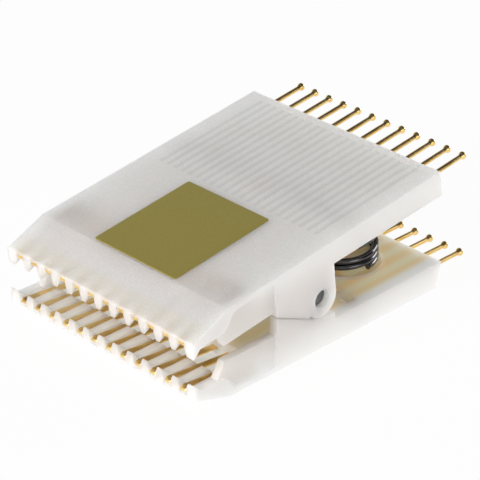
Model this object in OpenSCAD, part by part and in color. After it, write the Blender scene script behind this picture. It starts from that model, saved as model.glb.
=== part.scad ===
// Spring test clip for dual-in-line chips: two alike moulded halves turn on one hinge pin,
// two coil springs press the jaws shut, and each half carries a row of headed contacts.
// The clip lies on the outer face of its lower half. X runs along the contact rows, the jaws
// point to -Y and the tails to +Y. A half is drawn lying on its outer face, with y = 0 at the
// bend where the sloped nose begins, and the upper half is the same shape turned over.

/* [Contacts] */
// Contacts in each row
positions = 12; // [11:1:20]
// Distance between neighbouring contacts
pitch = 2.54; // [2.3:0.01:4]
// Diameter of the round post
post_d = 0.62; // [0.5:0.01:0.8]
// Depth of the post's axis below the outer face
post_depth = 1.85; // [1.6:0.05:2]
// Length of the post behind the tail
post_reach = 5.8; // [3:0.1:12]
// Diameter of the post's head
head_d = 1.05; // [0.9:0.05:1.8]
// Thickness of the post's head
head_t = 0.3; // [0.2:0.05:0.6]
// Length of the flare from the post to its head
flare_len = 0.35; // [0.2:0.05:0.8]
// Width of the strip in the jaw
strip_w = 1; // [0.7:0.05:1.1]
// Thickness of the strip
strip_t = 0.3; // [0.2:0.01:0.35]
// Slope of the strip against the outer face, in degrees
strip_slope = 5.4; // [5:0.1:6.5]
// Length of the strip's root inside the tail
strip_root = 3; // [2:0.1:5]
// Set-back of the hook from the nose's front
hook_set = 0.05; // [0:0.05:0.6]
// Radius of the hook's centre line
hook_r = 0.4; // [0.3:0.05:0.5]
// Turn of the hook, in degrees
hook_turn = 75; // [50:5:80]
// Straight end of the hook
hook_end = 0.1; // [0.05:0.01:0.15]
// Clearance around a contact in its channel
contact_gap = 0.03; // [0.01:0.01:0.05]

/* [Shell] */
// Distance from the last contact to the side of the body
side_margin = 2.13; // [2:0.01:3]
// Length of the outer face, from the bend to the rear end
plate_len = 37.75; // [37:0.05:60]
// Thickness of the tail at its rear end
plate_t = 3.75; // [3.4:0.05:4.2]
// Thickness of the tail where it meets the pocket
plate_root_t = 3.1; // [2.9:0.05:3.4]
// Lean of the rear end, outer to inner edge
rear_lean = 0.5; // [0:0.05:1]
// Length of the sloped nose
nose_len = 5.95; // [5.5:0.05:7]
// Drop of the nose at its front
nose_drop = 1.75; // [1.4:0.05:2]
// Lean of the nose's front face
front_lean = 0.1; // [0:0.05:0.4]
// Gap between the points of the opposite teeth
mouth = 3.8; // [3.2:0.05:4]
// Height of a tooth's point over the comb behind it
tooth_rise = 0.9; // [0.8:0.05:1.2]
// Length of a tooth's point at its foot
tooth_foot = 1.1; // [0.8:0.05:1.5]
// Length of the flat end of a tooth's point
tooth_flat = 0.15; // [0.1:0.05:0.3]
// Narrowing of a tooth's point on each side, from its foot to its flat end
tooth_taper = 0.35; // [0:0.05:0.4]
// Length of the jaw pocket behind the bend
pocket_len = 4.5; // [3.5:0.1:6]
// Thickness of the shell over the pocket
pocket_roof = 0.9; // [0.7:0.05:1]
// Length of the comb, from the nose's front to its sloped back
comb_len = 5; // [4:0.1:5.5]
// Length of the slope at the comb's back
comb_ramp = 2; // [1:0.1:2.5]
// Width of a contact slot
slot_w = 1.26; // [1.15:0.01:1.4]
// Room behind a strip to bend
flex_gap = 0.6; // [0.4:0.05:0.7]
// Thickness of the side walls
wall_t = 1.4; // [1.1:0.05:1.45]
// Set-back of the jaw's side walls from the body's side
wall_recess = 0.35; // [0.1:0.05:0.5]
// Gap between the two halves' walls at their front corners
wall_gap = 2.1; // [1.6:0.1:2.6]
// Distance of the wall's front corner behind the nose's front
wall_front = 5.1; // [4.6:0.1:5.6]
// Run of the wall's sloped front edge
wall_rake = 1.3; // [0.8:0.1:2]
// Length of the jaw's side wall behind the bend
wall_len = 7.8; // [7:0.1:9]
// Width of the window over each post
window_w = 1; // [0.7:0.05:1.2]
// Length of the window over each post
window_len = 1.6; // [1:0.1:2.5]
// Distance of the windows behind the hinge
window_back = 7.3; // [6:0.1:8]
// Grip ribs over each contact
ribs_per_contact = 2; // [1:1:3]
// Width of a rib's flat top
rib_top_w = 0.27; // [0.2:0.01:0.4]
// Depth of the groove between two ribs
rib_groove_depth = 0.07; // [0.04:0.01:0.15]
// Plain margin around the ribs
rib_margin = 1.2; // [0.8:0.1:2]

/* [Hinge] */
// Distance of the hinge behind the bend
hinge_back = 15.55; // [15:0.05:17]
// Height of the hinge over the outer face
hinge_height = 7.15; // [6.9:0.05:7.5]
// Tilt of each half against the clip's middle plane, in degrees
half_tilt = 3.72; // [3:0.02:4.5]
// Diameter of the hinge pin
pin_d = 2.4; // [1.6:0.05:2.8]
// Radial clearance of the hinge pin
pin_gap = 0.05; // [0.02:0.01:0.08]
// Depth of the pin's ends below the body's sides
pin_recess = 0.7; // [0.2:0.05:1]
// Chamfer on the pin's ends
pin_chamfer = 0.2; // [0.1:0.05:0.4]
// Radius of the lugs' round ends
lug_r = 2.5; // [2:0.05:2.8]
// Thickness of the inner lugs
inner_lug_t = 2; // [1.2:0.1:3]
// Side gap between an inner and an outer lug
lug_gap = 0.15; // [0.08:0.01:0.3]
// Height of the gusset's front corner over the wall's edge
gusset_rise = 0.6; // [0.3:0.05:0.9]
// Reach of the gusset's rear corner past the hinge's height
gusset_reach = 1.6; // [1:0.05:1.8]
// Gap at the closed stop, between a gusset and the ledge of the other half
stop_gap = 0.2; // [0.1:0.02:0.3]
// Room between a lug's round end and the other half
lug_room = 0.35; // [0.25:0.05:0.5]

/* [Springs] */
// Distance of the springs behind the hinge
spring_back = 13.9; // [13.4:0.1:15]
// Distance of a spring's axis from the side of the body
spring_inset = 9.1; // [8.6:0.1:9.7]
// Outside diameter of a spring
spring_d = 9.3; // [7:0.1:9.6]
// Diameter of the spring wire
wire_d = 0.82; // [0.6:0.02:0.86]
// Turns of a spring between its closed ends
open_turns = 2; // [1.5:0.25:2.5]
// Closed turns at each end of a spring
closed_turns = 2; // [1:0.25:2]
// Gap between two closed turns
turn_gap = 0.03; // [0.02:0.01:0.06]
// Clearance between a spring's end and its seat
seat_gap = 0.04; // [0.02:0.01:0.1]
// Room between a spring and the rim around its seat
rim_gap = 0.15; // [0.1:0.01:0.3]
// Wall thickness of the rim
rim_w = 0.4; // [0.3:0.05:0.6]
// Height of the rim
rim_h = 0.4; // [0.3:0.05:0.6]
// Height of the spigot inside a spring
spigot_h = 1.8; // [1:0.1:2]
// Room between a spigot and its spring
spigot_gap = 0.3; // [0.25:0.05:0.5]

/* [Label] */
// Width of the foil label
label_w = 14; // [8:0.1:18]
// Length of the foil label
label_len = 16.2; // [8:0.1:17]
// Thickness of the foil label
label_t = 0.1; // [0.05:0.01:0.2]
// Distance of the label behind the bend
label_back = 0.35; // [0.1:0.05:1]

/* [Hidden] */
$fn = 48;
// Overlap that lets joined shapes and cuts run past each other
eps = 0.2;
// Cut length that clears the whole body
clear = 20;
row_span = (positions - 1) * pitch;
body_w = row_span + 2 * side_margin;
spring_span = body_w - 2 * spring_inset;
rib_pitch = pitch / ribs_per_contact;
function contact_x(i) = -row_span / 2 + (i - 1) * pitch;
rear_y = plate_len + rear_lean;
function plate_at(y) =
  plate_root_t + (plate_t - plate_root_t) * (y - pocket_len) / (rear_y - pocket_len);

// Height of the clip's middle plane over the outer face, y behind the bend
function middle(y) = hinge_height - (hinge_back - y) * tan(half_tilt);
tooth_tip = [-nose_len - front_lean, middle(-nose_len - front_lean) - mouth / 2];
comb_top = tooth_tip[1] - tooth_rise;
comb_back = -nose_len + comb_len;
wall_front_y = -nose_len + wall_front;
wall_top = middle(wall_front_y) - wall_gap / 2;
wall_inner = body_w / 2 - wall_t;

// A point of one half's outline, as the other half's outline sees it at rest
function across_gap(p) = [
  hinge_back + (p[0] - hinge_back) * cos(2 * half_tilt) - (hinge_height - p[1]) * sin(2 * half_tilt),
  hinge_height + (p[0] - hinge_back) * sin(2 * half_tilt) + (hinge_height - p[1]) * cos(2 * half_tilt)
];

// Lower edge of the gusset in front of an outer lug
gusset_front = [wall_len, wall_top + gusset_rise];
gusset_rear = [hinge_back - lug_r, hinge_height + gusset_reach];

// Centre line of a strip and its hook, from the tail forward
function strip_height(y) = post_depth + (pocket_len - y) * tan(strip_slope);
hook_y = -nose_len + hook_set + hook_r + strip_t / 2;
hook_steps = 10;
hook_start = [hook_y, strip_height(hook_y)];
hook_centre = hook_start - hook_r * [sin(strip_slope), cos(strip_slope)];
function hook_point(turn) =
  hook_centre + hook_r * [-sin(turn - strip_slope), cos(turn - strip_slope)];
function hook_normal(turn) = [-sin(turn - strip_slope), cos(turn - strip_slope)];
hook_turns = [for (k = [0:hook_steps]) hook_turn * k / hook_steps];
hook_dir = -[cos(hook_turn - strip_slope), sin(hook_turn - strip_slope)];

// The rear end and the post behind it
post_start = pocket_len + strip_root - 1;
post_end = rear_y + post_reach;
contact_end = post_end + flare_len + head_t;

// Place of the whole clip: its middle in Y stands over the origin
front_y = min(tooth_tip[0], across_gap(tooth_tip)[0], across_gap([-nose_len, nose_drop])[0]);
middle_y = (front_y + contact_end) / 2;

// Springs stand square to the middle plane, with their ends just off the tilted seats
spring_y = hinge_back + spring_back;
seat_drop = hinge_height - plate_at(spring_y);
spring_along = spring_back * cos(half_tilt) - seat_drop * sin(half_tilt);
spring_half = spring_back * sin(half_tilt) + seat_drop * cos(half_tilt)
  - spring_d / 2 * tan(half_tilt) - seat_gap;
spring_steps = 24;
wire_sides = 8;

shell_colour = [0.93, 0.92, 0.88];
gold_colour = [0.83, 0.62, 0.22];
steel_colour = [0.2, 0.2, 0.21];
foil_colour = [0.58, 0.5, 0.2];

sides = ["lower", "upper"];
function two_digits(i) = i < 10 ? str("0", i) : str(i);
function contact_name(side, i) = str(side, "_contact_", two_digits(i));

// A side outline, drawn as [y, z], carried from x0 to x1
module across(x0, x1) {
  translate([x0, 0, 0]) rotate([90, 0, 90]) linear_extrude(x1 - x0) children();
}

// The lower half lies as drawn, and the upper one is turned over and tilted open at the hinge
module placed(side) {
  hinge = [0, hinge_back, hinge_height];
  translate([0, -middle_y, 0])
    if (side == "lower") children();
    else translate(hinge) rotate([2 * half_tilt, 0, 0]) rotate([0, 180, 0]) translate(-hinge) children();
}

// Outline of the tail, the pocket, the comb, its pointed teeth and the nose
module plate_outline() {
  polygon([
    [0, 0],
    [plate_len, 0],
    [rear_y, plate_t],
    [pocket_len, plate_root_t],
    [pocket_len, pocket_roof],
    [comb_back + comb_ramp, pocket_roof],
    [comb_back, comb_top],
    [tooth_tip[0] + tooth_foot, comb_top],
    [tooth_tip[0] + tooth_flat, tooth_tip[1]],
    tooth_tip,
    [-nose_len, nose_drop],
  ]);
}

// The plate, set back beside the pocket as the walls are
module plate() {
  difference() {
    across(-body_w / 2, body_w / 2) plate_outline();
    for (side = [-1, 1])
      let (a = side * (body_w / 2 - wall_recess), b = side * body_w)
        across(min(a, b), max(a, b))
          translate([pocket_len - eps, pocket_roof]) square([wall_len - pocket_len + eps, clear]);
  }
}

// Outline of a jaw wall, rooted in the plate
module wall_outline() {
  root = pocket_roof / 2;
  polygon([
    [wall_front_y - wall_rake, comb_top - eps],
    [wall_front_y, wall_top],
    [wall_len + eps, wall_top],
    [wall_len + eps, root],
    [0, root],
  ]);
}

// Outline of a lug, from the tail to its round end
module lug_outline() {
  root = plate_root_t / 2;
  translate([hinge_back, hinge_height]) circle(lug_r);
  translate([hinge_back - lug_r, root]) square([2 * lug_r, hinge_height - root]);
}

// Outline of the gusset in front of an outer lug
module gusset_outline() {
  root = plate_root_t / 2;
  polygon([[wall_len, root], gusset_front, gusset_rear, [hinge_back, hinge_height], [hinge_back, root]]);
}

// Outline of the ledge that stops the other half's gusset and clears its lug
module ledge_outline() {
  root = plate_root_t / 2;
  front = across_gap(gusset_front) - [0, stop_gap];
  rear = across_gap(gusset_rear) - [0, stop_gap];
  fall = (rear[1] - front[1]) / (rear[0] - front[0]);
  end = hinge_back + lug_r;
  low = hinge_height - lug_r - lug_room;
  difference() {
    polygon([
      [wall_len, root],
      [wall_len, front[1] + fall * (wall_len - front[0])],
      rear,
      [hinge_back, low],
      [end, low],
      [end, root],
    ]);
    translate([hinge_back, hinge_height]) circle(lug_r + lug_room);
  }
}

// Both walls, and the lugs of one half: outer on its -X side, inner on its +X side
module walls_and_lugs() {
  for (side = [-1, 1])
    let (a = side * wall_inner, b = side * (body_w / 2 - wall_recess))
      across(min(a, b), max(a, b)) wall_outline();
  across(-body_w / 2, -wall_inner) {
    lug_outline();
    gusset_outline();
  }
  across(wall_inner, body_w / 2) ledge_outline();
  across(wall_inner - lug_gap - inner_lug_t, wall_inner - lug_gap) lug_outline();
}

// Rims around the springs and spigots inside them
module spring_seats() {
  bore_r = spring_d / 2 + rim_gap;
  spigot_r = spring_d / 2 - wire_d - spigot_gap;
  base = plate_at(spring_y) - eps;
  for (side = [-1, 1])
    translate([side * spring_span / 2, spring_y, base]) {
      difference() {
        cylinder(h = rim_h + eps, r = bore_r + rim_w);
        translate([0, 0, -eps]) cylinder(h = rim_h + 3 * eps, r = bore_r);
      }
      cylinder(h = spigot_h + eps, r = spigot_r);
    }
}

// Room between two pointed teeth, wider towards their points
module tooth_room() {
  half = slot_w / 2;
  translate([0, tooth_tip[0] + tooth_foot, 0]) rotate([90, 0, 0]) linear_extrude(clear)
    polygon([
      [half, comb_top],
      [half + tooth_taper, tooth_tip[1]],
      [half + tooth_taper, clear],
      [-half - tooth_taper, clear],
      [-half - tooth_taper, tooth_tip[1]],
      [-half, comb_top],
    ]);
}

// Slot, tooth room, root channel, post bore and window of one contact
module contact_cuts() {
  back = strip_t / 2 + flex_gap;
  across(-slot_w / 2, slot_w / 2)
    polygon([
      [pocket_len, strip_height(pocket_len) - back],
      [-clear, strip_height(-clear) - back],
      [-clear, clear],
      [pocket_len, clear],
    ]);
  tooth_room();
  translate([-strip_w / 2 - contact_gap, pocket_len - eps, post_depth - strip_t / 2 - contact_gap])
    cube([strip_w + 2 * contact_gap, strip_root + eps, strip_t + 2 * contact_gap]);
  translate([0, post_start - contact_gap, post_depth]) rotate([-90, 0, 0])
    cylinder(h = plate_len, d = post_d + 2 * contact_gap);
  translate([-window_w / 2, hinge_back + window_back - window_len / 2, post_depth])
    cube([window_w, window_len, plate_t]);
}

// Grooves between the grip ribs, from behind the label to the rear end
module rib_grooves() {
  start = label_back + label_len + rib_margin;
  end = plate_len - rib_margin;
  half = (rib_pitch - rib_top_w) / 2;
  count = floor((body_w / 2 - rib_margin) / rib_pitch);
  for (k = [-count:count - 1])
    translate([(k + 0.5) * rib_pitch, end, 0]) rotate([90, 0, 0]) linear_extrude(end - start)
      polygon([[-half, -eps], [-half, 0], [0, rib_groove_depth], [half, 0], [half, -eps]]);
}

// One moulded half
module shell() {
  color(shell_colour) difference() {
    union() {
      plate();
      walls_and_lugs();
      spring_seats();
    }
    for (i = [1:positions]) translate([contact_x(i), 0, 0]) contact_cuts();
    rib_grooves();
    translate([-body_w, hinge_back, hinge_height]) rotate([0, 90, 0])
      cylinder(h = 2 * body_w, d = pin_d + 2 * pin_gap);
  }
}

// Strip with its straight root, its slope and the hook bent outwards round the nose
module strip_outline() {
  lift = strip_t / 2;
  root = pocket_len + strip_root;
  bend = [pocket_len, post_depth];
  slant = lift * hook_normal(0);
  last = hook_point(hook_turn) + hook_end * hook_dir;
  polygon(concat(
    [[root, post_depth - lift], bend - slant],
    [for (t = hook_turns) hook_point(t) - lift * hook_normal(t)],
    [last - lift * hook_normal(hook_turn), last + lift * hook_normal(hook_turn)],
    [for (k = [hook_steps:-1:0]) hook_point(hook_turns[k]) + lift * hook_normal(hook_turns[k])],
    [bend + slant, [root, post_depth + lift]]
  ));
}

// One contact: hooked strip, round post and flared head
module contact(i) {
  color(gold_colour) translate([contact_x(i), 0, 0]) {
    across(-strip_w / 2, strip_w / 2) strip_outline();
    translate([0, post_start, post_depth]) rotate([-90, 0, 0]) {
      cylinder(h = post_end - post_start, d = post_d);
      translate([0, 0, post_end - post_start]) cylinder(h = flare_len, d1 = post_d, d2 = head_d);
      translate([0, 0, post_end + flare_len - post_start]) cylinder(h = head_t, d = head_d);
    }
  }
}

// Hinge pin through all four lugs
module hinge_pin() {
  half = body_w / 2 - pin_recess;
  color(steel_colour) translate([0, hinge_back - middle_y, hinge_height]) rotate([0, 90, 0]) {
    translate([0, 0, pin_chamfer - half]) cylinder(h = 2 * (half - pin_chamfer), d = pin_d);
    translate([0, 0, -half]) cylinder(h = pin_chamfer, d1 = pin_d - 2 * pin_chamfer, d2 = pin_d);
    translate([0, 0, half - pin_chamfer]) cylinder(h = pin_chamfer, d1 = pin_d, d2 = pin_d - 2 * pin_chamfer);
  }
}

// Coil spring centred on the middle plane, with closed turns at both ends
module coil() {
  mean_r = (spring_d - wire_d) / 2;
  turns = open_turns + 2 * closed_turns;
  rings = turns * spring_steps;
  top = spring_half - wire_d / 2;
  closed_pitch = wire_d + turn_gap;
  closed_rise = closed_turns * closed_pitch;
  open_pitch = 2 * (top - closed_rise) / open_turns;
  function height(turn) = turn < closed_turns ? closed_pitch * turn
    : turn > turns - closed_turns ? 2 * top - closed_pitch * (turns - turn)
    : closed_rise + open_pitch * (turn - closed_turns);
  points = [for (k = [0:rings], s = [0:wire_sides - 1])
    let (turn = k / spring_steps, a = 360 * turn, b = 360 * s / wire_sides, r = mean_r + wire_d / 2 * cos(b))
      [r * cos(a), r * sin(a), height(turn) - top + wire_d / 2 * sin(b)]];
  function at(k, s) = k * wire_sides + s % wire_sides;
  walls = [for (k = [0:rings - 1], s = [0:wire_sides - 1], half = [0, 1])
    half == 0 ? [at(k, s), at(k, s + 1), at(k + 1, s + 1)] : [at(k, s), at(k + 1, s + 1), at(k + 1, s)]];
  first = [for (s = [wire_sides - 1:-1:0]) at(0, s)];
  last = [for (s = [0:wire_sides - 1]) at(rings, s)];
  polyhedron(points, concat([first], walls, [last]));
}

// One spring in its seats
module spring(side) {
  color(steel_colour) translate([0, hinge_back - middle_y, hinge_height]) rotate([half_tilt, 0, 0])
    translate([side * spring_span / 2, spring_along, 0]) coil();
}

// Bare foil square on the upper half's outer face
module label() {
  color(foil_colour) translate([-label_w / 2, label_back, -label_t]) cube([label_w, label_len, label_t]);
}

for (side = sides) {
  placed(side) shell();
  for (i = [1:positions])
    placed(side) contact(side == "upper" ? positions + 1 - i : i);
}
hinge_pin();
spring(-1);  // spring_left
spring(1);  // spring_right
placed("upper") label();
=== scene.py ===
"""Looks of a spring test clip for dual-in-line chips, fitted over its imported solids.

Lengths are written in millimetres in the frame of one half, which lies on its outer face:
x along the contact row, y behind the bend of the nose, z in from the outer face. MM turns
them into metres, and place() carries them to the lower or the upper half of the clip.
"""

import math

import bmesh
import bpy
import numpy as np
from mathutils import Matrix, Vector


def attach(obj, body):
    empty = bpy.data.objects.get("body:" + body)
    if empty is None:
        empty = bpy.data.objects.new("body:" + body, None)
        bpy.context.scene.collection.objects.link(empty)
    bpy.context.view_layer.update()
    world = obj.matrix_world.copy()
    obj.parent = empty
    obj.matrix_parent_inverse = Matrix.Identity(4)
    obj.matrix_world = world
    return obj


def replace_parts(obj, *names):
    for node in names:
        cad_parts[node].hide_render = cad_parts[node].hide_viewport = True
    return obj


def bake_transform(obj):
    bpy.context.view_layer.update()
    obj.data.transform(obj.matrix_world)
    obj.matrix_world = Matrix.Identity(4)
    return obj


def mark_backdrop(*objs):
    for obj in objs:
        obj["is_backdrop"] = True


MM = 0.001

# Sizes repeated from the part's source
POSITIONS = 12
PITCH = 2.54
POST_D = 0.62
POST_DEPTH = 1.85
POST_REACH = 5.8
HEAD_D = 1.05
HEAD_T = 0.3
FLARE_LEN = 0.35
STRIP_W = 1.0
STRIP_T = 0.3
STRIP_SLOPE = math.radians(5.4)
STRIP_ROOT = 3.0
HOOK_SET = 0.05
HOOK_R = 0.4
HOOK_TURN = math.radians(75)
HOOK_END = 0.1
SIDE_MARGIN = 2.13
PLATE_LEN = 37.75
PLATE_T = 3.75
REAR_LEAN = 0.5
NOSE_LEN = 5.95
POCKET_LEN = 4.5
SLOT_W = 1.26
FLEX_GAP = 0.6
WALL_T = 1.4
WINDOW_LEN = 1.6
WINDOW_BACK = 7.3
GROOVE_DEPTH = 0.07
HINGE_BACK = 15.55
HINGE_HEIGHT = 7.15
HALF_TILT = math.radians(3.72)
PIN_D = 2.4
PIN_RECESS = 0.7
PIN_CHAMFER = 0.2
SPRING_BACK = 13.9
SPRING_SPAN = 14.0
SPRING_D = 9.3
WIRE_D = 0.82
OPEN_TURNS = 2.0
CLOSED_TURNS = 2.0
TURN_GAP = 0.03
SEAT_GAP = 0.04
SEAT_DEPTH = 3.5805
LABEL_W = 14.0
LABEL_LEN = 16.2
LABEL_T = 0.1
LABEL_BACK = 0.35
MIDDLE_Y = 19.115887

# What follows from them
BODY_W = (POSITIONS - 1) * PITCH + 2 * SIDE_MARGIN
WALL_INNER = BODY_W / 2 - WALL_T
REAR_Y = PLATE_LEN + REAR_LEAN
ROOT_END = POCKET_LEN + STRIP_ROOT
POST_END = REAR_Y + POST_REACH
PIN_HALF = BODY_W / 2 - PIN_RECESS
HINGE = np.array([0, HINGE_BACK - MIDDLE_Y, HINGE_HEIGHT])

# Details of the surfaces: how far a post laps a strip's root, where the strip's bend starts, the
# power that rounds its section, the post's last plain ring, the flare's early start and curve,
# the head's rounded rim and dish, the dimples of the pin's ends (radius and depth of each ring),
# and the label's corner and rings (inset, and rise as a share of its thickness)
POST_LAP = 1.0
BEND_START = 0.4
SECTION_POWER = 6
SHAFT_STOP = 0.25
FLARE_EARLY = 0.12
FLARE_CURVE = 1.5
HEAD_RIM = 0.09
HEAD_DISH = 0.07
DIMPLE_R = (1e-5, 0.25, 0.3)
DIMPLE_DEPTH = (0.06, 0.05, 0)
LABEL_CORNER = 0.35
LABEL_LEAST_CORNER = 0.01
LABEL_INSET = (0, 0, 0.04, 0.12, 1.2, 3.0, 5.0, 6.6)
LABEL_RISE = (0, 0.6, 0.93, 1, 1, 1, 1, 1)

# Steps of the surfaces, round a section or along a line
FILL_SIDES = 12
POST_SIDES = 24
PIN_SIDES = 48
WIRE_SIDES = 14
WIRE_STEPS = 40
STRIP_SIDES = 16
STRIP_STEPS = 28
HOOK_STEPS = 14
FLARE_STEPS = 6
ROUND_STEPS = 5
LABEL_SIDES = 64

# Ends that close in a point: a ring's radius, and a strip's last ring as a share of its section
POINT = 1e-5
STRIP_CLOSE = 1e-4

# Merging distances in metres, and the angles of faces that are joined or parted by a sharp edge
MERGE_NEW = 1e-7
MERGE_SOLID = 2e-6
FLAT_ANGLE = math.radians(0.5)
SHARP_NEW = math.radians(40)
SHARP_SHELL = math.radians(32)

# Rounded edges of a shell: radius, steps, shortest edge, and the share of the radius by the
# edge's angle in degrees. Near the thin ledge between the outer slots and the walls, only a
# part of that share is left.
EDGE_R = 0.16
EDGE_STEPS = 3
EDGE_SHORTEST = 2.2
EDGE_ANGLES = (5, 6, 20, 30)
EDGE_SHARES = (0, 0.5, 0.5, 1)
LEDGE_REACH = 0.12
LEDGE_SHARE = 0.2

# Fills of the bores: radius, lap over a strip's root, ease round a strip, shortness at open ends,
# and the reach of the wedges in the comb
FILL_R = 0.36
FILL_LAP = 0.5
FILL_EASE = 0.06
FILL_SHY = 0.1
FILL_FRONT = -5.2
FILL_BACK = -0.9

# Where a shell's faces count as inside or outside, by their place and by their normal's z
INSIDE_DEPTH = 0.6
WALL_DEPTH = 0.8
WALL_MARGIN = 1.2
WALL_UPRIGHT = 0.9
WALL_SHARE = 0.8
OUTER_DEPTH = 3
OUTER_NORMAL = -0.5

# Where the painted shade on the shells lies: the share of cream shade along y, the row's edge in
# x, the nose's slope and the front of the ribs in y, each from none to full, the nose's least
# share of painted shade, between its strips, and the power that narrows its shade over each strip
CREAM_SHADE_Y = (-2, 4, 16, 24, 38.5)
CREAM_SHADE_SHARE = (0, 0.15, 0.2, 1, 0.9)
ROW_EDGE = (15.4, 13.6)
NOSE_SLOPE = (-2.4, -4.4)
RIBS_FRONT = (17.0, 17.5)
NOSE_LEAST = 0.7
STRIP_SHADE_POWER = 6.0

# Colours, in pairs where a finish drifts between two tones, and the span of noise they drift over
DRIFT = (0.3, 0.7)
SKIN = ((0.88, 0.87, 0.835), (0.91, 0.9, 0.87))
# Painted light: the paler skin of the faces inside the clip
PAINTED_LIGHT_INSIDE = (0.995, 0.975, 0.93)
# Painted shade: cream over the buried posts inside the clip, with amber bands that paint the gold
# seen through the nylon
PAINTED_SHADE_CREAM_TO_AMBER = ((0.995, 0.85, 0.665), (0.99, 0.75, 0.5))
# Painted shade on the nose's outer slope, deepest over each strip
NOSE_PAINTED_SHADE = (0.985, 0.955, 0.84)
# Painted shade in the grooves between the ribs
GROOVE_PAINTED_SHADE = (0.88, 0.88, 0.9)
FLECKS = ((0.95, 0.95, 0.95), (1.02, 1.02, 1.02))
GOLD = ((0.82, 0.54, 0.18), (0.96, 0.72, 0.31))
SPRING_WIRE = ((0.07, 0.07, 0.08), (0.13, 0.13, 0.145))
# Real steel, drawn dark as painted shade: it gives the shaded crescent in the lug's bore
PIN_STEEL_AND_SHADE = ((0.12, 0.115, 0.11), (0.22, 0.215, 0.21))
FOIL = ((0.42, 0.35, 0.08), (0.48, 0.4, 0.1))

# Textures: each noise's lumps per metre and its detail, the spans of the plastic's bands and
# flecks, the bands' wobble, the Wave node's own factor on its scale, and the strength of a grain
# with its depth in metres
CLOUD_NOISE = (140.0, 3.0)
FLECK_NOISE = (4200.0, 1.0)
GOLD_NOISE = (260.0, 2.0)
WIRE_NOISE = (700.0, 4.0)
PIN_NOISE = (1200.0, 4.0)
FOIL_NOISE = (5200.0, 2.0)
BAND_SPAN = (0.1, 0.9)
FLECK_SPAN = (0.42, 0.66)
BAND_WOBBLE = 0.6
WAVE_FACTOR = 20
PLASTIC_GRAIN = (0.25, 0.00004)
FOIL_GRAIN = (0.2, 0.00002)

# Gloss: roughness, from and to where it drifts, and how far the foil is metal
PLASTIC_ROUGH = (0.36, 0.5)
GOLD_ROUGH = (0.25, 0.33)
WIRE_ROUGH = (0.08, 0.17)
PIN_ROUGH = (0.3, 0.45)
FOIL_ROUGH = 0.42
FOIL_METAL = 0.35

# Where a Mix node has its factor and its two colours, and the colour that it gives
MIX_INPUTS = (0, 6, 7)
MIX_OUTPUT = 2

# Light in the plastic: how much of it scatters, how far in metres, and the share of each colour
SCATTER = 0.95
SCATTER_REACH = 0.0065
SCATTER_COLOUR = (0.8, 0.9, 0.9)
PLASTIC_IOR = 1.53

# The photograph's camera, about the clip's middle plane, in degrees, millimetres and pixels
CAMERA_AZIMUTH = 44.97
CAMERA_ELEVATION = 31.24
CAMERA_ROLL = -1.37
CAMERA_DISTANCE = 303.2
CAMERA_ASIDE = -0.69
CAMERA_LIFT = 0.22
CAMERA_FOCUS = 2417.0
CAMERA_HINGE_Y = -3.3
CAMERA_NEAR = 0.01
FRAME_PIXELS = 480
SENSOR = 36.0

# Floor, in metres: half its width, its drop below the clip, its grey, and its own glow for other
# rays and for those that show it
FLOOR_HALF = 1.5
FLOOR_DROP = 0.00002
FLOOR_GREY = (0.9, 0.9, 0.9, 1)
FLOOR_GLOW = 0.9
FLOOR_WHITE = 0.96

# Light: the room's tone from the horizon up to a height, the direction, span and tone of its
# dark corner, and each soft box's name, place, size, power in watts and colour
ROOM_RISE = (0.0, 0.7)
ROOM_TONE = ((0.94, 0.93, 0.905), (0.03, 0.04, 0.07))
DARK_CORNER = (0.69, 0.69, 0.22)
CORNER_SPAN = (0.8, 0.93)
CORNER_TONE = ((1, 1, 1), (0.05, 0.045, 0.04))
SOFT_BOXES = (
    ("box_front", (-0.04, -0.38, 0.23), 0.2, 1.58, (1.0, 0.99, 0.955)),
    ("box_right", (0.42, -0.08, 0.06), 0.2, 0.26, (1.0, 0.975, 0.92)),
    ("box_rear", (0.17, 0.42, 0.14), 0.2, 1.0, (1.0, 0.97, 0.935)),
)


# Places and surfaces


def turn_over(side, x, dy, dz):
    """Distances from the hinge of the lower half's points, or of the upper half's after its turn.

    The upper half is turned over about the hinge, (x, dy, dz) to (-x, dy, -dz), and then tilted
    by twice the half's tilt about x. Done twice, this gives the first distances again.
    """
    if side == "lower":
        return x, dy, dz
    c, s = math.cos(2 * HALF_TILT), math.sin(2 * HALF_TILT)
    return -x, dy * c + dz * s, dy * s - dz * c


def place(side, points):
    """Row-frame points, in metres, of a half's own points in millimetres: turned over about the
    hinge where the half is the upper one, and slid by -MIDDLE_Y along y."""
    x, y, z = np.asarray(points, float).T
    x, dy, dz = turn_over(side, x, y - HINGE_BACK, z - HINGE_HEIGHT)
    return np.stack([x, dy + HINGE_BACK - MIDDLE_Y, dz + HINGE_HEIGHT], 1) * MM


def unplace(side, points):
    """A half's own points in millimetres from row-frame points in metres: place() undone."""
    x, y, z = (np.asarray(points, float) / MM).T
    x, dy, dz = turn_over(side, x, y - HINGE_BACK + MIDDLE_Y, z - HINGE_HEIGHT)
    return np.stack([x, dy + HINGE_BACK, dz + HINGE_HEIGHT], 1)


def stand_between(points):
    """Row-frame points, in metres, of points set about the hinge in the clip's middle plane: they
    turn by the half's tilt about x, (y, z) to (y c - z s, y s + z c), and slide to the hinge."""
    c, s = math.cos(HALF_TILT), math.sin(HALF_TILT)
    x, y, z = points.T
    return (np.stack([x, y * c - z * s, y * s + z * c], 1) + HINGE) * MM


def contact_x(i):
    """x of contact i, counted from 1: the row is centred on x = 0."""
    return -(POSITIONS - 1) * PITCH / 2 + (i - 1) * PITCH


def strip_height(y):
    """Height of a strip's centre line, which slopes in from the pocket's back."""
    return POST_DEPTH + (POCKET_LEN - y) * math.tan(STRIP_SLOPE)


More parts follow.
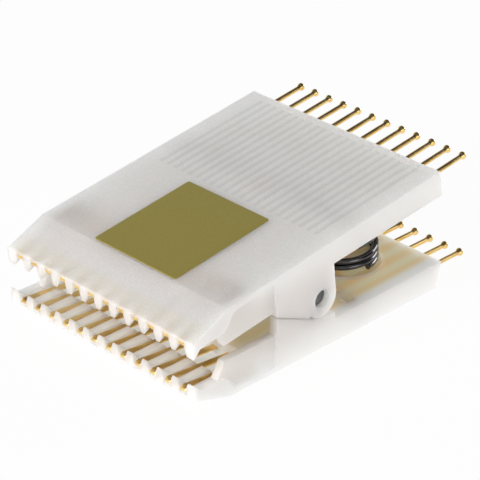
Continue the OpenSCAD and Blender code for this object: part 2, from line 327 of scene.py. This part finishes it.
def circle(count, start=0.0):
    """Angles of count points spread evenly round a circle, the first of them at start."""
    return np.linspace(0, 2 * math.pi, count, endpoint=False) + start


def grid_faces(rows, cols):
    """Quads of a grid of rows rings with cols points each, every ring closed on itself."""
    r, c = np.meshgrid(np.arange(rows - 1), np.arange(cols), indexing="ij")
    a, b = r * cols + c, r * cols + (c + 1) % cols
    return np.stack([a, b, b + cols, a + cols], -1).reshape(-1, 4)


def lathe(radii, heights, sides):
    """Points (x, y, z) and quads of radii turned about the y axis: ring k stands at heights[k]."""
    r, a = np.meshgrid(radii, circle(sides), indexing="ij")
    y = np.repeat(np.asarray(heights, float)[:, None], sides, 1)
    points = np.stack([r * np.cos(a), y, r * np.sin(a)], -1).reshape(-1, 3)
    return points, grid_faces(len(radii), sides)


def plug(half_x, half_z, ends, levels):
    """Points and quads of a four-sided plug along y.

    At each of its two ends stands a rectangle of those halves about x = 0 and z = levels, with a
    ring beside it that shrinks to its middle and closes it.
    """
    shrink = np.array([POINT, 1, 1, POINT])[:, None]
    u, v = np.array([-1, 1, 1, -1]), np.array([-1, -1, 1, 1])
    y, z = (np.repeat(np.asarray(along, float), 2)[:, None] for along in (ends, levels))
    points = np.stack([shrink * half_x * u, np.repeat(y, 4, 1), z + shrink * half_z * v], -1)
    return points.reshape(-1, 3), grid_faces(4, 4)


def join_surfaces(*surfaces):
    """One surface from several pairs of points and quads: each one's quads count on."""
    points, quads = zip(*surfaces)
    starts = np.cumsum([0, *(len(p) for p in points[:-1])])
    return np.concatenate(points), np.concatenate([q + s for q, s in zip(quads, starts)])


def set_in_scene(name, data):
    """A new object of that mesh, lamp or camera at the origin, put into the scene."""
    piece = bpy.data.objects.new(name, data)
    bpy.context.scene.collection.objects.link(piece)
    return piece


def mesh_piece(name, points, quads, material=None, caps=()):
    """A mesh object at the origin from row-frame points, its faces turned outwards. Caps are
    faces of more than four corners."""
    mesh = bpy.data.meshes.new(name)
    mesh.from_pydata(points.tolist(), [], quads.tolist() + list(caps))
    work = bmesh.new()
    work.from_mesh(mesh)
    bmesh.ops.remove_doubles(work, verts=work.verts, dist=MERGE_NEW)
    bmesh.ops.recalc_face_normals(work, faces=work.faces)
    work.to_mesh(mesh)
    work.free()
    mesh.shade_smooth()
    mesh.set_sharp_from_angle(angle=SHARP_NEW)
    if material:
        mesh.materials.append(material)
    return set_in_scene(name, mesh)


# Finishes


def new_material(name):
    """A new material, its node tree and its shader node."""
    material = bpy.data.materials.new(name)
    material.use_nodes = True
    tree = material.node_tree
    return material, tree, tree.nodes["Principled BSDF"]


def add_node(tree, kind, links=None, **values):
    """A node with its values set by attribute or socket name, and its sockets linked."""
    node = tree.nodes.new(kind)
    for key, value in values.items():
        if hasattr(node, key):
            setattr(node, key, value)
        else:
            node.inputs[key.replace("_", " ")].default_value = value
    for socket, source in (links or {}).items():
        tree.links.new(source, node.inputs[socket])
    return node


def feed(tree, socket, value):
    """Links a source to a socket, or sets the socket to a number or an opaque colour."""
    if isinstance(value, bpy.types.NodeSocket):
        tree.links.new(value, socket)
    else:
        socket.default_value = (*value, 1) if isinstance(value, tuple) else value


def math_node(tree, operation, first, second=None):
    """The result of a Math node on one source and, where given, a second source or a number."""
    node = add_node(tree, "ShaderNodeMath", {0: first}, operation=operation)
    if second is not None:
        feed(tree, node.inputs[1], second)
    return node.outputs[0]


def product(tree, first, *others):
    """The product of several sources."""
    for other in others:
        first = math_node(tree, "MULTIPLY", first, other)
    return first


def map_range(tree, source, low, high):
    """A source that goes from 0 to 1, carried to low and high."""
    node = add_node(tree, "ShaderNodeMapRange", {"Value": source}, To_Min=low, To_Max=high)
    return node.outputs["Result"]


def smooth_step(tree, source, none, full):
    """A smooth step of source, 0 at none and 1 at full, whichever of the two is the larger."""
    node = add_node(
        tree,
        "ShaderNodeMapRange",
        {"Value": source},
        interpolation_type="SMOOTHSTEP",
        From_Min=min(none, full),
        From_Max=max(none, full),
        To_Min=0.0 if none < full else 1.0,
        To_Max=1.0 if none < full else 0.0,
    )
    return node.outputs["Result"]


def ramp(tree, source, span, tones):
    """A colour ramp driven by source: the first tone at the span's start, the last at its end."""
    node = add_node(tree, "ShaderNodeValToRGB", {"Fac": source})
    for stop, position, tone in zip(node.color_ramp.elements, span, tones):
        stop.position, stop.color = position, (*tone, 1)
    return node.outputs["Color"]


def mix(tree, factor, first, second, blend="MIX"):
    """The colour of a Mix node: first, blended with second by factor."""
    node = add_node(tree, "ShaderNodeMix", data_type="RGBA", blend_type=blend)
    for index, value in zip(MIX_INPUTS, (factor, first, second)):
        feed(tree, node.inputs[index], value)
    return node.outputs[MIX_OUTPUT]


def object_place(tree):
    """The place on the object that a texture follows."""
    return add_node(tree, "ShaderNodeTexCoord").outputs["Object"]


def attribute(tree, name, output="Fac"):
    """An attribute of the mesh."""
    return add_node(tree, "ShaderNodeAttribute", attribute_name=name).outputs[output]


def noise(tree, spot, scale, detail):
    """A noise over the object's place. Its scale is in lumps per metre."""
    node = add_node(tree, "ShaderNodeTexNoise", {"Vector": spot}, Scale=scale, Detail=detail)
    return node.outputs["Fac"]


def grain_bump(tree, height, strength, depth):
    """The normal of a fine grain: a bump by height, its depth in metres."""
    node = add_node(tree, "ShaderNodeBump", {"Height": height}, Strength=strength, Distance=depth)
    return node.outputs["Normal"]


def set_finish(tree, shader, **values):
    """Feeds the shader's sockets of those names."""
    for name, value in values.items():
        feed(tree, shader.inputs[name.replace("_", " ")], value)


def moulded_plastic():
    """Translucent off-white nylon with the gold inside it showing through.

    Inside the clip the skin is painted paler, which is painted light, and its tint turns to cream
    over the row of buried posts, with an amber band over each: a sine of x at the contacts' pitch.
    The cream is painted shade, and the amber bands paint the gold as seen through the nylon. The
    nose's outer slope is painted a shade warmer and darker, most of all over each strip, as
    painted shade, the grooves between the ribs are painted greyer as shade, and the outer face has
    fine pale flecks.
    """
    material, tree, shader = new_material("moulded_nylon")
    spot = object_place(tree)
    own = add_node(tree, "ShaderNodeSeparateXYZ", {0: attribute(tree, "own", "Vector")})
    own_x, own_y, own_z = own.outputs
    outer = attribute(tree, "outer")

    clouds = noise(tree, spot, *CLOUD_NOISE)
    # Painted light: faces inside the clip take a paler skin
    skin = mix(tree, attribute(tree, "inside"), ramp(tree, clouds, DRIFT, SKIN), PAINTED_LIGHT_INSIDE)

    # Bands at the contacts' pitch: the gold painted as seen through the nylon
    bands = add_node(
        tree,
        "ShaderNodeTexWave",
        {"Vector": spot},
        wave_type="BANDS",
        bands_direction="X",
        wave_profile="SIN",
        Scale=2 * math.pi / (WAVE_FACTOR * PITCH * MM),
        Distortion=BAND_WOBBLE,
        Detail=1.0,
    ).outputs["Fac"]
    # Painted shade: cream, with amber bands, over the buried posts inside the clip
    row = smooth_step(tree, math_node(tree, "ABSOLUTE", own_x), *ROW_EDGE)
    buried = product(tree, attribute(tree, "inward_shade"), row)
    inner_shade = mix(tree, buried, skin, ramp(tree, bands, BAND_SPAN, PAINTED_SHADE_CREAM_TO_AMBER))

    # Painted shade: the nose's outer slope darker and warmer, most of all over each strip
    strip_shade = map_range(tree, math_node(tree, "POWER", bands, STRIP_SHADE_POWER), NOSE_LEAST, 1.0)
    nose = product(tree, outer, smooth_step(tree, own_y, *NOSE_SLOPE), strip_shade)
    shaded = mix(tree, nose, inner_shade, NOSE_PAINTED_SHADE, "MULTIPLY")

    # Painted shade: the ribs' grooves darkened by their depth
    depth = smooth_step(tree, own_z, 0.0, GROOVE_DEPTH)
    groove_shade = product(tree, outer, depth, smooth_step(tree, own_y, *RIBS_FRONT))
    ribbed = mix(tree, groove_shade, shaded, GROOVE_PAINTED_SHADE, "MULTIPLY")

    flecks = noise(tree, spot, *FLECK_NOISE)
    pale = ramp(tree, flecks, FLECK_SPAN, FLECKS)
    set_finish(
        tree,
        shader,
        Base_Color=mix(tree, outer, ribbed, pale, "MULTIPLY"),
        Roughness=map_range(tree, clouds, *PLASTIC_ROUGH),
        Normal=grain_bump(tree, flecks, *PLASTIC_GRAIN),
        Subsurface_Weight=SCATTER,
        Subsurface_Scale=SCATTER_REACH,
        IOR=PLASTIC_IOR,
        Specular_IOR_Level=0.5,
    )
    shader.inputs["Subsurface Radius"].default_value = SCATTER_COLOUR
    return material


def metal(name, tones, roughness, lumps):
    """A metal whose tone and roughness drift between two values over a noise."""
    material, tree, shader = new_material(name)
    drift = noise(tree, object_place(tree), *lumps)
    colour, rough = ramp(tree, drift, DRIFT, tones), map_range(tree, drift, *roughness)
    set_finish(tree, shader, Base_Color=colour, Roughness=rough, Metallic=1.0)
    return material


def label_foil():
    """Olive-gold foil with a fine satin grain."""
    material, tree, shader = new_material("olive_foil")
    fine = noise(tree, object_place(tree), *FOIL_NOISE)
    colour, normal = ramp(tree, fine, DRIFT, FOIL), grain_bump(tree, fine, *FOIL_GRAIN)
    set_finish(tree, shader, Base_Color=colour, Normal=normal)
    set_finish(tree, shader, Metallic=FOIL_METAL, Roughness=FOIL_ROUGH)
    return material


# Pieces


def read_all(items, key, width=1, kind=float):
    """One value of each of a mesh's items, as rows where the value is wider than 1."""
    out = np.empty(len(items) * width, kind)
    items.foreach_get(key, out)
    return out.reshape(-1, width) if width > 1 else out


def join_flat_faces(mesh):
    """Merges a mesh's doubled points and joins its faces that lie flat side by side."""
    work = bmesh.new()
    work.from_mesh(mesh)
    bmesh.ops.remove_doubles(work, verts=work.verts, dist=MERGE_SOLID)
    bmesh.ops.dissolve_limit(work, angle_limit=FLAT_ANGLE, verts=work.verts, edges=work.edges)
    work.to_mesh(mesh)
    work.free()


def finished_mesh(piece):
    """A new mesh of a piece with its modifiers applied."""
    bpy.context.view_layer.update()
    graph = bpy.context.evaluated_depsgraph_get()
    return bpy.data.meshes.new_from_object(piece.evaluated_get(graph))


def bore_fills(side):
    """An object that fills what lies out of sight round a half's contacts, so that light crosses
    it as it crosses the plastic: rods of FILL_R about the posts' axes, on both sides of the
    windows, a bar about each strip's root, and a wedge under the strip in the comb. They end
    FILL_SHY short of the open ends. The fills of one contact are repeated along the row."""
    window = HINGE_BACK + WINDOW_BACK
    rear = PLATE_LEN + REAR_LEAN * POST_DEPTH / PLATE_T
    spans = (
        (ROOT_END - FILL_LAP, window - WINDOW_LEN / 2 - FILL_SHY),
        (window + WINDOW_LEN / 2 + FILL_SHY, rear - 2 * FILL_SHY),
    )
    fills = []
    for first, last in spans:
        ends = (first, first, last, last)
        rod, quads = lathe((POINT, FILL_R, FILL_R, POINT), ends, FILL_SIDES)
        fills.append((rod + np.array([0, 0, POST_DEPTH]), quads))
    root = (POCKET_LEN + FILL_SHY, ROOT_END + FILL_EASE)
    bar = STRIP_W / 2 + FILL_EASE, STRIP_T / 2 + FILL_EASE
    fills.append(plug(*bar, root, (POST_DEPTH, POST_DEPTH)))
    comb = np.array([FILL_FRONT, FILL_BACK])
    under = strip_height(comb) - STRIP_T / 2 - FILL_EASE - FLEX_GAP / 2
    fills.append(plug(SLOT_W / 2 + FILL_EASE, FLEX_GAP / 2, comb, under))
    points, quads = join_surfaces(*fills)
    shifts = (np.array([contact_x(i), 0, 0]) for i in range(1, POSITIONS + 1))
    points, quads = join_surfaces(*((points + shift, quads) for shift in shifts))
    return mesh_piece("bore_fills", place(side, points), quads)


def filled(side, mesh):
    """The mesh of a half joined with its bore fills, with flat faces joined once more."""
    fills = bore_fills(side)
    solid = set_in_scene("solid", mesh)
    join = solid.modifiers.new("fills", "BOOLEAN")
    join.operation = "UNION"
    join.solver = "EXACT"
    join.use_self = True
    join.object = fills
    joined = finished_mesh(solid)
    joined.name = mesh.name
    joined.materials.clear()
    for spent in (solid, fills):
        bpy.data.objects.remove(spent)
    join_flat_faces(joined)
    return joined


def edge_rounding(mesh):
    """Each edge's share of the rounding: by the angle between the normals of its two faces, 0 on
    short edges, and cut down near the thin ledges."""
    edge_of_loop = read_all(mesh.loops, "edge_index", kind=np.int32)
    corners = read_all(mesh.polygons, "loop_total", kind=np.int32)
    face_of_loop = np.repeat(np.arange(len(mesh.polygons)), corners)
    normals = read_all(mesh.polygons, "normal", 3)
    order = np.argsort(edge_of_loop, kind="stable")
    edges, first, count = np.unique(edge_of_loop[order], return_index=True, return_counts=True)
    pair = count == 2
    a, b = face_of_loop[order[first[pair]]], face_of_loop[order[first[pair] + 1]]
    angle = np.zeros(len(mesh.edges))
    angle[edges[pair]] = np.arccos(np.clip((normals[a] * normals[b]).sum(1), -1, 1))
    points = read_all(mesh.vertices, "co", 3)
    ends = read_all(mesh.edges, "vertices", 2, np.int32)
    start, end = points[ends[:, 0]], points[ends[:, 1]]
    long = np.linalg.norm(start - end, axis=1) > EDGE_SHORTEST * MM
    share = np.interp(angle, np.radians(EDGE_ANGLES), EDGE_SHARES) * long
    ledge_x = (WALL_INNER + contact_x(POSITIONS) + SLOT_W / 2) / 2
    across = np.abs((start[:, 0] + end[:, 0]) / 2) / MM
    share[np.abs(across - ledge_x) < LEDGE_REACH] *= LEDGE_SHARE
    return share


def add_facing(side, mesh):
    """Attributes of a half. On its faces, inside is 1 where one looks into the clip's inside,
    inward is the same but fades out to the jaw's mouth and the rear end, and outer is 1 where one
    looks outwards. On its points, own is the half's own place in millimetres."""
    centres = read_all(mesh.polygons, "center", 3)
    normals = read_all(mesh.polygons, "normal", 3)
    x, y, z = unplace(side, centres).T
    normal_z = unplace(side, centres + normals * MM)[:, 2] - z
    facing = np.clip(normal_z, 0, 1) * (z > INSIDE_DEPTH)
    within = (np.abs(x) < BODY_W / 2 - WALL_MARGIN) & (z > WALL_DEPTH)
    walls = within & (np.abs(normal_z) < WALL_UPRIGHT)
    inside = np.maximum(facing, WALL_SHARE * walls)
    # Painted shade: how much cream shade is painted on each inside face, by its place along y
    inward_shade = inside * np.interp(y, CREAM_SHADE_Y, CREAM_SHADE_SHARE)
    outer = (normal_z < OUTER_NORMAL) & (z < OUTER_DEPTH)
    for name, value in (("inside", inside), ("inward_shade", inward_shade), ("outer", outer)):
        layer = mesh.attributes.new(name, "FLOAT", "FACE")
        layer.data.foreach_set("value", value.astype(np.float32))
    own = unplace(side, read_all(mesh.vertices, "co", 3))
    layer = mesh.attributes.new("own", "FLOAT_VECTOR", "POINT")
    layer.data.foreach_set("vector", own.ravel().astype(np.float32))


def half_shell(side, solid, material):
    """One moulded half: its solid with flat faces joined, its bores filled and its long edges
    rounded."""
    mesh = solid.data.copy()
    mesh.name = side + "_half"
    mesh.materials.clear()
    if "custom_normal" in mesh.attributes:
        mesh.attributes.remove(mesh.attributes["custom_normal"])
    join_flat_faces(mesh)
    mesh = filled(side, mesh)
    weight = mesh.attributes.new("bevel_weight_edge", "FLOAT", "EDGE")
    weight.data.foreach_set("value", edge_rounding(mesh).astype(np.float32))
    mesh.materials.append(material)
    piece = set_in_scene(mesh.name, mesh)
    bevel = piece.modifiers.new("rounded_edges", "BEVEL")
    bevel.limit_method = "WEIGHT"
    bevel.width = EDGE_R * MM
    bevel.segments = EDGE_STEPS
    bevel.use_clamp_overlap = False
    shaped = finished_mesh(piece)
    piece.modifiers.clear()
    piece.data = shaped
    shaped.name = mesh.name
    shaped.shade_smooth()
    shaped.set_sharp_from_angle(angle=SHARP_SHELL)
    add_facing(side, shaped)
    flat = piece.modifiers.new("flat_faces", "WEIGHTED_NORMAL")
    flat.keep_sharp = True
    return piece


def strip_surface():
    """Strip and hook: a rounded rectangle carried along the strip's centre line.

    The line runs from the root straight to the pocket's back, slopes in by STRIP_SLOPE to the
    nose and bends round an arc of HOOK_R. The section is |u|^n + |v|^n = 1 with n =
    SECTION_POWER, scaled by half the width and half the thickness, and its first and last rings
    shrink to close the ends.
    """
    hook_y = -NOSE_LEN + HOOK_SET + HOOK_R + STRIP_T / 2
    turn = np.linspace(0, HOOK_TURN, HOOK_STEPS) - STRIP_SLOPE
    begin = np.array([hook_y, strip_height(hook_y)])
    centre = begin - HOOK_R * np.array([math.sin(STRIP_SLOPE), math.cos(STRIP_SLOPE)])
    arc = centre + HOOK_R * np.stack([-np.sin(turn), np.cos(turn)], 1)
    last = arc[-1] - HOOK_END * np.array([math.cos(turn[-1]), math.sin(turn[-1])])
    slope_y = np.linspace(POCKET_LEN, hook_y, STRIP_STEPS)[:-1]
    slope = np.stack([slope_y, strip_height(slope_y)], 1)
    root = np.array([[ROOT_END, POST_DEPTH], [POCKET_LEN + BEND_START, POST_DEPTH]])
    line = np.concatenate([root, slope, arc, last[None]])
    along = np.gradient(line, axis=0)
    along /= np.linalg.norm(along, axis=1)[:, None]
    normal = np.stack([along[:, 1], -along[:, 0]], 1)
    line = np.concatenate([line[:1], line, line[-1:]])
    normal = np.concatenate([normal[:1], normal, normal[-1:]])
    shrink = np.ones(len(line))
    shrink[0] = shrink[-1] = STRIP_CLOSE
    a = circle(STRIP_SIDES, math.pi / STRIP_SIDES)
    u, v = (np.sign(wave) * np.abs(wave) ** (2 / SECTION_POWER) for wave in (np.cos(a), np.sin(a)))
    x = (shrink * STRIP_W / 2)[:, None] * u
    off = (shrink * STRIP_T / 2)[:, None] * v
    yz = line[:, None, :] + off[..., None] * normal[:, None, :]
    points = np.concatenate([x[..., None], yz], -1).reshape(-1, 3)
    return points, grid_faces(len(line), STRIP_SIDES)


def post_surface():
    """Round post, flare and head: radii turned about the post's axis. The flare widens with the
    power FLARE_CURVE of its length, the head's rim is a quarter circle, and its end face is
    dished by a parabola."""
    start, end = ROOT_END - POST_LAP, POST_END + FLARE_LEN + HEAD_T
    flare = np.linspace(0, 1, FLARE_STEPS)
    rim = np.linspace(0, math.pi / 2, ROUND_STEPS)
    dish = np.linspace(1, 0, ROUND_STEPS)[1:]
    flat = HEAD_D / 2 - HEAD_RIM
    rings = (
        ([start, start, POST_END - SHAFT_STOP], [POINT, POST_D / 2, POST_D / 2]),
        (
            POST_END - FLARE_EARLY + (FLARE_LEN + FLARE_EARLY) * flare,
            POST_D / 2 + (HEAD_D - POST_D) / 2 * flare**FLARE_CURVE,
        ),
        (end - HEAD_RIM + HEAD_RIM * np.sin(rim), flat + HEAD_RIM * np.cos(rim)),
        (end - HEAD_DISH * (1 - dish**2), np.maximum(flat * dish, POINT)),
    )
    y, r = (np.concatenate(parts) for parts in zip(*rings))
    points, quads = lathe(r, y, POST_SIDES)
    return points + np.array([0, 0, POST_DEPTH]), quads


def contact(side, i, material):
    """One gold contact: strip, hook, post and head in one mesh. Contact i of either half stands
    at the same x, so the upper half's own x is the opposite one."""
    points, quads = join_surfaces(strip_surface(), post_surface())
    own_x = contact_x(i) if side == "lower" else -contact_x(i)
    points = points + np.array([own_x, 0, 0])
    return mesh_piece(f"{side}_pin_{i:02d}", place(side, points), quads, material)


def coil(side, material):
    """Coil spring, and the two ends of its axis: a circle of WIRE_D carried along a helix square
    to the clip's middle plane.

    The helix climbs by the wire and a small gap per turn in its closed ends and evenly between
    them. Its first and last rings shrink to close the wire's ends.
    """
    drop = HINGE_HEIGHT - SEAT_DEPTH
    along = SPRING_BACK * math.cos(HALF_TILT) - drop * math.sin(HALF_TILT)
    half = SPRING_BACK * math.sin(HALF_TILT) + drop * math.cos(HALF_TILT)
    half -= SPRING_D / 2 * math.tan(HALF_TILT) + SEAT_GAP
    top = half - WIRE_D / 2
    turns = OPEN_TURNS + 2 * CLOSED_TURNS
    closed = CLOSED_TURNS * (WIRE_D + TURN_GAP)
    turn = np.linspace(0, turns, int(turns * WIRE_STEPS) + 1)
    knots = [0, CLOSED_TURNS, turns - CLOSED_TURNS, turns]
    level = np.interp(turn, knots, [0, closed, 2 * top - closed, 2 * top]) - top
    radius = (SPRING_D - WIRE_D) / 2
    a = 2 * math.pi * turn
    line = np.stack([radius * np.cos(a), radius * np.sin(a), level], 1)
    forward = np.gradient(line, axis=0)
    forward /= np.linalg.norm(forward, axis=1)[:, None]
    outward = np.stack([np.cos(a), np.sin(a), np.zeros_like(a)], 1)
    upward = np.cross(forward, outward)
    ends = [0, *range(len(line)), len(line) - 1]
    line, outward, upward = line[ends], outward[ends], upward[ends]
    size = np.full(len(line), WIRE_D / 2)
    size[0] = size[-1] = POINT
    b = circle(WIRE_SIDES)[None, :, None]
    ring = outward[:, None] * np.cos(b) + upward[:, None] * np.sin(b)
    points = (line[:, None] + size[:, None, None] * ring).reshape(-1, 3)
    middle = np.array([side * SPRING_SPAN / 2, along, 0])
    axis = np.array([[0, 0, -half], [0, 0, half]])
    name = "coil_left" if side < 0 else "coil_right"
    quads = grid_faces(len(line), WIRE_SIDES)
    piece = mesh_piece(name, stand_between(points + middle), quads, material)
    return piece, stand_between(axis + middle)


def hinge_axle(material):
    """Hinge pin: radii turned about x, with chamfers rounded by a quarter circle and a faint
    dimple in each end."""
    bend = np.linspace(0, math.pi / 2, ROUND_STEPS)
    r = np.concatenate([DIMPLE_R, PIN_D / 2 - PIN_CHAMFER + PIN_CHAMFER * np.sin(bend)])
    y = np.concatenate([DIMPLE_DEPTH, PIN_CHAMFER * (1 - np.cos(bend))]) - PIN_HALF
    r, y = np.concatenate([r, r[::-1]]), np.concatenate([y, -y[::-1]])
    points, quads = lathe(r, y, PIN_SIDES)
    return mesh_piece("hinge_axle", (points[:, [1, 0, 2]] + HINGE) * MM, quads, material)


def foil_label(material):
    """Foil label: rounded-rectangle rings, from its edge on the outer face over a soft rim in to
    its middle. Ring k is the outline drawn in by LABEL_INSET[k] and raised by LABEL_RISE[k]."""
    a = circle(LABEL_SIDES, math.pi / LABEL_SIDES)
    cos, sin = np.cos(a), np.sin(a)
    inset = np.array(LABEL_INSET)[:, None]
    corner = np.maximum(LABEL_CORNER - inset, LABEL_LEAST_CORNER)
    x = np.sign(cos) * (LABEL_W / 2 - inset - corner) + corner * cos
    y = np.sign(sin) * (LABEL_LEN / 2 - inset - corner) + corner * sin
    z = np.repeat(-LABEL_T * np.array(LABEL_RISE)[:, None], LABEL_SIDES, 1)
    points = np.stack([x, y + LABEL_BACK + LABEL_LEN / 2, z], -1).reshape(-1, 3)
    first = list(range(LABEL_SIDES))
    caps = (first[::-1], [len(points) - LABEL_SIDES + k for k in first])
    quads = grid_faces(len(LABEL_INSET), LABEL_SIDES)
    return mesh_piece("foil_label", place("upper", points), quads, material, caps)


# Stage


def white_floor():
    """A broad white floor. Part of what it gives off is its own glow, nearly all of it for the
    camera and for mirror-like rays, and the rest is reflected light, which keeps the shadow."""
    x, y = np.meshgrid([-FLOOR_HALF, FLOOR_HALF], [-FLOOR_HALF, FLOOR_HALF])
    points = np.stack([x, y, np.full_like(x, -FLOOR_DROP)], -1).reshape(-1, 3)
    mesh = bpy.data.meshes.new("floor")
    mesh.from_pydata(points.tolist(), [], [[0, 1, 3, 2]])
    material, tree, shader = new_material("floor_white")
    shader.inputs["Base Color"].default_value = FLOOR_GREY
    shader.inputs["Roughness"].default_value = 0.9
    shader.inputs["Specular IOR Level"].default_value = 0.0
    light = add_node(tree, "ShaderNodeLightPath").outputs
    mirrored = math_node(tree, "MAXIMUM", light["Is Glossy Ray"], light["Is Transmission Ray"])
    seen = math_node(tree, "MAXIMUM", light["Is Camera Ray"], mirrored)
    share = map_range(tree, seen, FLOOR_GLOW, FLOOR_WHITE)
    glow = add_node(tree, "ShaderNodeEmission", Color=(1, 1, 1, 1), Strength=1.0)
    sources = {0: share, 1: shader.outputs[0], 2: glow.outputs[0]}
    both = add_node(tree, "ShaderNodeMixShader", sources)
    tree.links.new(both.outputs[0], tree.nodes["Material Output"].inputs["Surface"])
    mesh.materials.append(material)
    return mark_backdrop(set_in_scene("floor", mesh))


def studio_light():
    """A white room, dimmer and cooler overhead and dark in one far corner, with soft boxes.

    The room's tone goes by height, and the corner darkens it by the cosine of the angle to the
    corner's direction."""
    world = bpy.data.worlds.new("studio")
    bpy.context.scene.world = world
    world.use_nodes = True
    tree = world.node_tree
    sky = tree.nodes["Background"]
    way = add_node(tree, "ShaderNodeTexCoord").outputs["Generated"]
    height = add_node(tree, "ShaderNodeSeparateXYZ", {0: way}).outputs["Z"]
    near = add_node(tree, "ShaderNodeVectorMath", {0: way}, operation="DOT_PRODUCT")
    near.inputs[1].default_value = DARK_CORNER
    tone = ramp(tree, height, ROOM_RISE, ROOM_TONE)
    shade = ramp(tree, near.outputs["Value"], CORNER_SPAN, CORNER_TONE)
    tree.links.new(mix(tree, 1.0, tone, shade, "MULTIPLY"), sky.inputs["Color"])
    sky.inputs["Strength"].default_value = 1.0
    for name, spot, size, power, colour in SOFT_BOXES:
        lamp = bpy.data.lights.new(name, "AREA")
        lamp.size = size
        lamp.energy = power
        lamp.color = colour
        box = set_in_scene(name, lamp)
        box.location = spot
        box.rotation_euler = Vector([-c for c in spot]).to_track_quat("-Z", "Y").to_euler()


def photo_camera():
    """The photograph's camera: set about the middle plane, then carried with the hinge's tilt."""
    az, el, roll = (math.radians(v) for v in (CAMERA_AZIMUTH, CAMERA_ELEVATION, CAMERA_ROLL))
    back = np.array([math.sin(az) * math.cos(el), -math.cos(az) * math.cos(el), math.sin(el)])
    right = np.array([math.cos(az), math.sin(az), 0])
    up = np.cross(back, right)
    aside = math.cos(roll) * right + math.sin(roll) * up
    above = -math.sin(roll) * right + math.cos(roll) * up
    spot = CAMERA_ASIDE * aside + CAMERA_LIFT * above + CAMERA_DISTANCE * back
    spot -= np.array([0, CAMERA_HINGE_Y, 0])
    c, s = math.cos(HALF_TILT), math.sin(HALF_TILT)
    tilt = np.array([[1, 0, 0], [0, c, -s], [0, s, c]])
    matrix = np.eye(4)
    matrix[:3, :3] = tilt @ np.stack([aside, above, back], 1)
    matrix[:3, 3] = (tilt @ spot + HINGE) * MM
    lens = bpy.data.cameras.new("camera")
    lens.sensor_width = SENSOR
    lens.lens = CAMERA_FOCUS * SENSOR / FRAME_PIXELS
    lens.clip_start = CAMERA_NEAR
    camera = set_in_scene("camera", lens)
    camera.matrix_world = Matrix(matrix.tolist())
    bpy.context.scene.camera = camera


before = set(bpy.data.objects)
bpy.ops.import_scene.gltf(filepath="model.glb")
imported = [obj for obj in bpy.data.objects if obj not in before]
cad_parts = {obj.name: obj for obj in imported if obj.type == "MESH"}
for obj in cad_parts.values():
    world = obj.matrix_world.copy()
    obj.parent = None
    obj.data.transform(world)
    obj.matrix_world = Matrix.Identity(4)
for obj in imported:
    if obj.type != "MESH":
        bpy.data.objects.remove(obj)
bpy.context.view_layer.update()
bpy.context.scene.view_settings.view_transform = "Standard"
photo_camera()
studio_light()
white_floor()

nylon = moulded_plastic()
gold = metal("gold_plating", GOLD, GOLD_ROUGH, GOLD_NOISE)
spring_wire = metal("spring_wire", SPRING_WIRE, WIRE_ROUGH, WIRE_NOISE)
# The pin's steel is dark, as painted shade in the lug's bore
pin_steel = metal("pin_steel", PIN_STEEL_AND_SHADE, PIN_ROUGH, PIN_NOISE)
foil = label_foil()

for side in ("lower", "upper"):
    body = side + "_half"
    shell = half_shell(side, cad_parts[side + "_shell"], nylon)
    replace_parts(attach(shell, body), side + "_shell")
    for i in range(1, POSITIONS + 1):
        pin = contact(side, i, gold)
        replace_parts(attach(pin, body), f"{side}_contact_{i:02d}")

for side, node in ((-1, "spring_left"), (1, "spring_right")):
    spring, axis = coil(side, spring_wire)
    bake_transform(spring)
    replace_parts(spring, node)

axle = hinge_axle(pin_steel)
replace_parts(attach(axle, "lower_half"), "hinge_pin")

label = foil_label(foil)
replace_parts(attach(label, "upper_half"), "label")
